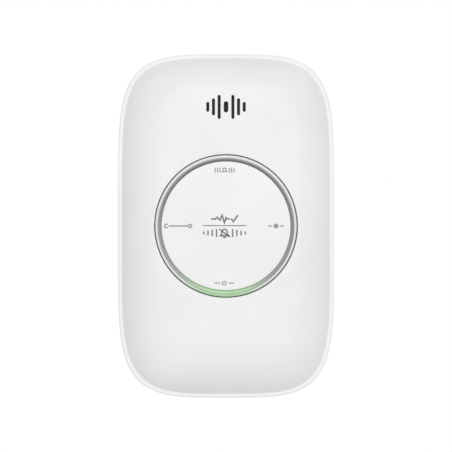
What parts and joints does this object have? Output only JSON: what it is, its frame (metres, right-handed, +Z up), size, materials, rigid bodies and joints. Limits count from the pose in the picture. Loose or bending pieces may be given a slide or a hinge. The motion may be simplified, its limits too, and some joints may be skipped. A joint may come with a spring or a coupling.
{
  "type": "carbon monoxide detector",
  "caption": "Wall-hung battery gas alarm: domed rounded cover, slotted sounder grille, ring-lit round test button, battery bay behind, on a hook-on bracket.",
  "frame": {"origin": "the middle of the alarm's outline, on the wall plane, where the bracket's back face lies", "axes": "+Z up the wall, -Y out of the wall towards the room, +X to the right seen from the room"},
  "size_m": [0.074, 0.035, 0.1176],
  "materials": {
    "shell_plastic": "fine satin",
    "button_plastic": "fine satin",
    "light_pipe": "frosted",
    "bracket_plastic": "fine spark texture",
    "carrier_plastic": "plain moulded",
    "spring_steel": "drawn wire",
    "contact_metal": "nickel plated",
    "black_plastic": "moulded",
    "switch_metal": "stamped",
    "plunger_plastic": "moulded",
    "circuit_board": "solder mask",
    "screw_steel": "zinc plated",
    "solder": "tinned",
    "brass_plate": "satin",
    "piezo_ceramic": "silvered",
    "gasket_foam": "closed-cell foam",
    "acoustic_mesh": "woven",
    "sensor_steel": "drawn can",
    "filter_membrane": "felted",
    "led_red": "clear epoxy",
    "led_orange": "clear epoxy",
    "led_yellow": "clear epoxy",
    "led_green": "clear epoxy, lit",
    "chip_epoxy": "moulded epoxy",
    "coil_ferrite": "ferrite and copper",
    "capacitor_sleeve": "shrink sleeve",
    "resistor_film": "glazed",
    "capacitor_ceramic": "fired",
    "cell_jacket": "printed film"
  },
  "bodies": {
    "bracket": {"wall_bracket": "bracket_plastic"},
    "button": {"button_cap": "button_plastic"},
    "plunger": {"switch_plunger": "plunger_plastic"},
    "door": {"battery_door": "shell_plastic"},
    "alarm": {"front_cover": "shell_plastic", "rear_housing": "shell_plastic", "light_ring": "light_pipe", "button_carrier": "carrier_plastic", "button_springs": "spring_steel", "battery_springs": "spring_steel", "contact_negative": "contact_metal", "contact_positive": "contact_metal", "contact_bridge": "contact_metal", "switch_body": "black_plastic", "sounder_housing": "black_plastic", "sensor_base": "black_plastic", "switch_cover": "switch_metal", "main_board": "circuit_board", "board_screws": "screw_steel", "housing_screws": "screw_steel", "component_pins": "solder", "sounder_plate": "brass_plate", "sounder_ceramic": "piezo_ceramic", "sounder_gasket": "gasket_foam", "grille_mesh": "acoustic_mesh", "sensor_can": "sensor_steel", "sensor_filter": "filter_membrane", "led_alarm": "led_red", "led_malfunction": "led_orange", "led_fault": "led_yellow", "led_power": "led_green", "microcontroller": "chip_epoxy", "sensor_amplifier": "chip_epoxy", "boost_coil": "coil_ferrite", "storage_capacitors": "capacitor_sleeve", "chip_resistors": "resistor_film", "chip_capacitors": "capacitor_ceramic", "cell_upper": "cell_jacket", "cell_lower": "cell_jacket"}
  },
  "joints": [
    {"name": "unhook_slide", "type": "slide", "parent": "bracket", "child": "alarm", "axis": [0, 0, 1], "range_m": [0, 0.0045]},
    {"name": "battery_door_hinge", "type": "hinge", "parent": "alarm", "child": "door", "pos_m": [0, -0.0019, -0.0464], "axis": [-1, 0, 0], "range_deg": [0, 90]},
    {"name": "button_press", "type": "slide", "parent": "alarm", "child": "button", "axis": [0, 1, 0], "range_m": [0, 0.001], "stiffness_N_per_m": 1500, "springref_m": -0.001, "deforming": ["button_springs"]},
    {"name": "plunger_press", "type": "slide", "parent": "alarm", "child": "plunger", "axis": [0, 1, 0], "range_m": [0, 0.001]}
  ],
  "couplings": [
    {"joint": "plunger_press", "follows": "button_press", "ratio": 1}
  ]
}
